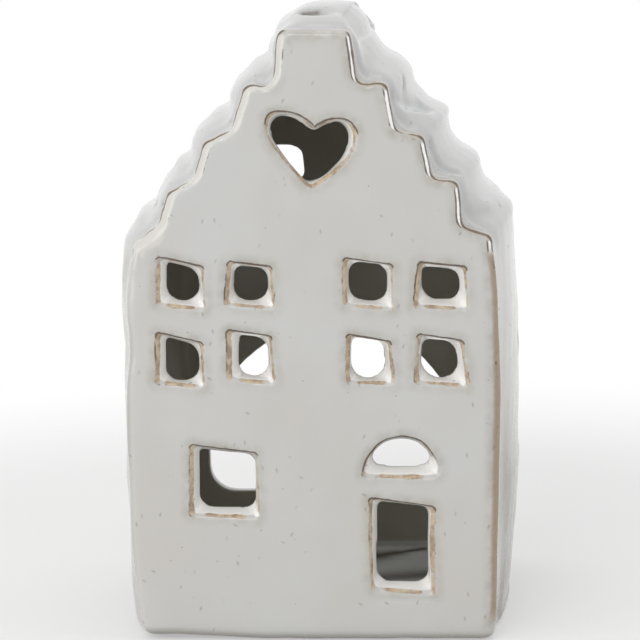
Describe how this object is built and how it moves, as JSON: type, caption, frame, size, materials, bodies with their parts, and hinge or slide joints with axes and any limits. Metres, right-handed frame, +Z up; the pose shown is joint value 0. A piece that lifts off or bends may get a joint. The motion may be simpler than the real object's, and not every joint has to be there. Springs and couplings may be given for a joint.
{
  "type": "tealight house",
  "caption": "Glazed ceramic canal house with a stepped gable and chimney, windows and a heart that glow from a tealight put in through the back arch.",
  "frame": {"origin": "on the table, under the middle of the house's box", "axes": "+Z up; +X to the right along the facade; +Y from the facade to the back wall, so the facade faces -Y"},
  "size_m": [0.1084, 0.09, 0.1681],
  "materials": {
    "glazed_stoneware": "glossy off-white glaze that breaks to brown clay on sharp edges, with fine dark specks",
    "cup_aluminium": "thin pressed sheet, satin",
    "candle_wax": "white paraffin wax, waxy sheen",
    "tab_steel": "tinned pressed steel",
    "wick_cotton": "waxed braided cotton"
  },
  "bodies": {
    "house": {"front_facade": "glazed_stoneware", "back_wall": "glazed_stoneware", "left_wall": "glazed_stoneware", "right_wall": "glazed_stoneware", "left_roof": "glazed_stoneware", "right_roof": "glazed_stoneware", "chimney_cap": "glazed_stoneware", "floor_slab": "glazed_stoneware"},
    "tealight": {"tealight_cup": "cup_aluminium", "tealight_wax": "candle_wax", "wick_tab": "tab_steel", "wick": "wick_cotton"}
  },
  "joints": [
    {"name": "tealight_out", "type": "slide", "parent": "house", "child": "tealight", "axis": [0, 0.866, 0.5], "range_m": [0, 0.086]}
  ]
}
